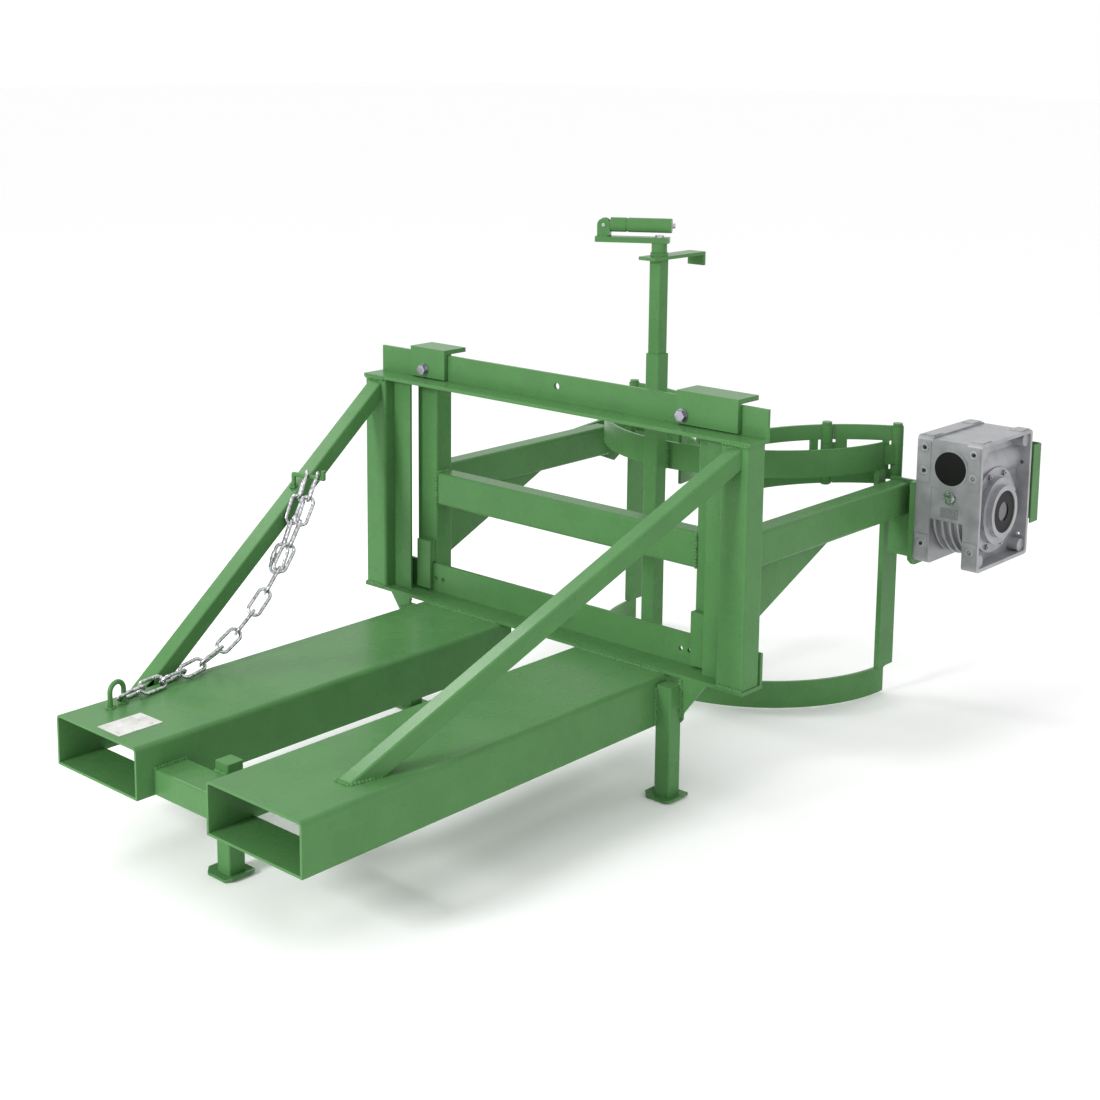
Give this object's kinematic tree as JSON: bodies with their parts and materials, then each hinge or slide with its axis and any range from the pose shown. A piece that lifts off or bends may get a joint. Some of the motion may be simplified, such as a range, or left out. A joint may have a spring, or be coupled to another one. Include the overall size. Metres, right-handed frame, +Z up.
{
  "type": "drum tipper",
  "caption": "Fork truck drum tipper with fork pockets, hook-on frame, half-ring drum holder, rim clamp and geared tipping axis.",
  "frame": {"origin": "middle plane of the fork pockets at the bottom of the front foot plate", "axes": "+X towards the gearbox side, +Y away from the truck towards the drum, +Z up"},
  "size_m": [0.959, 1.565, 0.897],
  "materials": {
    "green_enamel": "semi-gloss enamel over welded steel",
    "zinc_steel": "bright zinc plate",
    "gearbox_casting": "grey coated casting",
    "dark_steel": "oiled steel",
    "black_plastic": "moulded black plastic",
    "white_plastic": "pale plastic",
    "label_plate": "bare printed-white plate",
    "bronze": "machined bronze"
  },
  "bodies": {
    "frame": {"right_fork_pocket": "green_enamel", "left_fork_pocket": "green_enamel", "pocket_straps": "green_enamel", "front_crossbar": "green_enamel", "legs": "green_enamel", "foot_plates": "green_enamel", "leg_gussets": "green_enamel", "bottom_angle": "green_enamel", "top_angle": "green_enamel", "corner_posts": "green_enamel", "inner_stiles": "green_enamel", "right_brace": "green_enamel", "left_brace": "green_enamel", "chain_eye": "green_enamel", "rod_hook": "green_enamel", "safety_chain": "zinc_steel", "quick_link": "zinc_steel", "label_plate": "label_plate", "hook_posts": "green_enamel", "crossbeam": "green_enamel", "arms": "green_enamel", "arm_gussets": "green_enamel", "upper_hooks": "green_enamel", "hook_bolts": "zinc_steel", "lower_retainers": "green_enamel", "gearbox_plate": "green_enamel", "left_bearing_plate": "green_enamel", "left_pivot_bush": "green_enamel", "gear_housing": "gearbox_casting", "output_cover": "gearbox_casting", "cover_screws": "zinc_steel", "rubber_caps": "black_plastic", "gear_bearings": "dark_steel", "breather": "zinc_steel", "nameplate": "label_plate", "gearbox_bolts": "zinc_steel", "feed_bracket": "green_enamel"},
    "rotor": {"back_ring": "green_enamel", "lower_ring": "green_enamel", "uprights": "green_enamel", "right_pivot_shaft": "dark_steel", "left_pivot_shaft": "green_enamel", "clamp_post": "green_enamel", "post_pads": "green_enamel", "spindle_nut": "zinc_steel", "hinge_pins": "zinc_steel", "cable_tie": "white_plastic", "worm_wheel": "bronze"},
    "gate_link": {"gate_link": "green_enamel", "middle_pin": "zinc_steel"},
    "right_wing": {"right_wing": "green_enamel"},
    "left_wing": {"left_wing": "green_enamel", "gate_latch": "zinc_steel"},
    "clamp_slide": {"clamp_tube": "green_enamel", "claw": "green_enamel"},
    "crank": {"spindle": "zinc_steel", "crank_arm": "green_enamel"},
    "grip_rod": {"grip_rod": "zinc_steel"},
    "grip": {"grip": "green_enamel"},
    "worm": {"worm_shaft": "dark_steel"}
  },
  "joints": [
    {"name": "drum_turn", "type": "hinge", "parent": "frame", "child": "rotor", "pos_m": [0, 1.422, 0.393], "axis": [1, 0, 0], "range_deg": [-180, 0]},
    {"name": "worm_turn", "type": "hinge", "parent": "frame", "child": "worm", "pos_m": [0.467, 1.422, 0.475], "axis": [0, 1, 0], "range_deg": [-10800, 10800]},
    {"name": "gate_link_swing", "type": "hinge", "parent": "rotor", "child": "gate_link", "pos_m": [0.309, 1.422, 0.46], "axis": [0, 0, 1], "range_deg": [-116, 0]},
    {"name": "right_wing_fold", "type": "hinge", "parent": "gate_link", "child": "right_wing", "pos_m": [0.20775, 1.34289, 0.46], "axis": [0, 0, 1], "range_deg": [-50, 0]},
    {"name": "left_wing_swing", "type": "hinge", "parent": "rotor", "child": "left_wing", "pos_m": [-0.309, 1.422, 0.46], "axis": [0, 0, -1], "range_deg": [-86, 0]},
    {"name": "clamp_slide", "type": "slide", "parent": "rotor", "child": "clamp_slide", "axis": [0, 0, 1], "range_m": [-0.12, 0.13]},
    {"name": "crank_turn", "type": "hinge", "parent": "clamp_slide", "child": "crank", "pos_m": [0, 1.097, 0.85], "axis": [0, 0, 1], "range_deg": [-10800, 11700]},
    {"name": "grip_fold", "type": "hinge", "parent": "crank", "child": "grip_rod", "pos_m": [-0.08599, 1.04595, 0.884], "axis": [0.5105, -0.8599, 0], "range_deg": [0, 90]},
    {"name": "grip_spin", "type": "hinge", "parent": "grip_rod", "child": "grip", "pos_m": [-0.08599, 1.04595, 0.884], "axis": [0.8599, 0.5105, 0], "continuous": true}
  ],
  "couplings": [
    {"joint": "worm_turn", "follows": "drum_turn", "ratio": 60},
    {"joint": "clamp_slide", "follows": "crank_turn", "m_per_rad": 0.00063662}
  ]
}
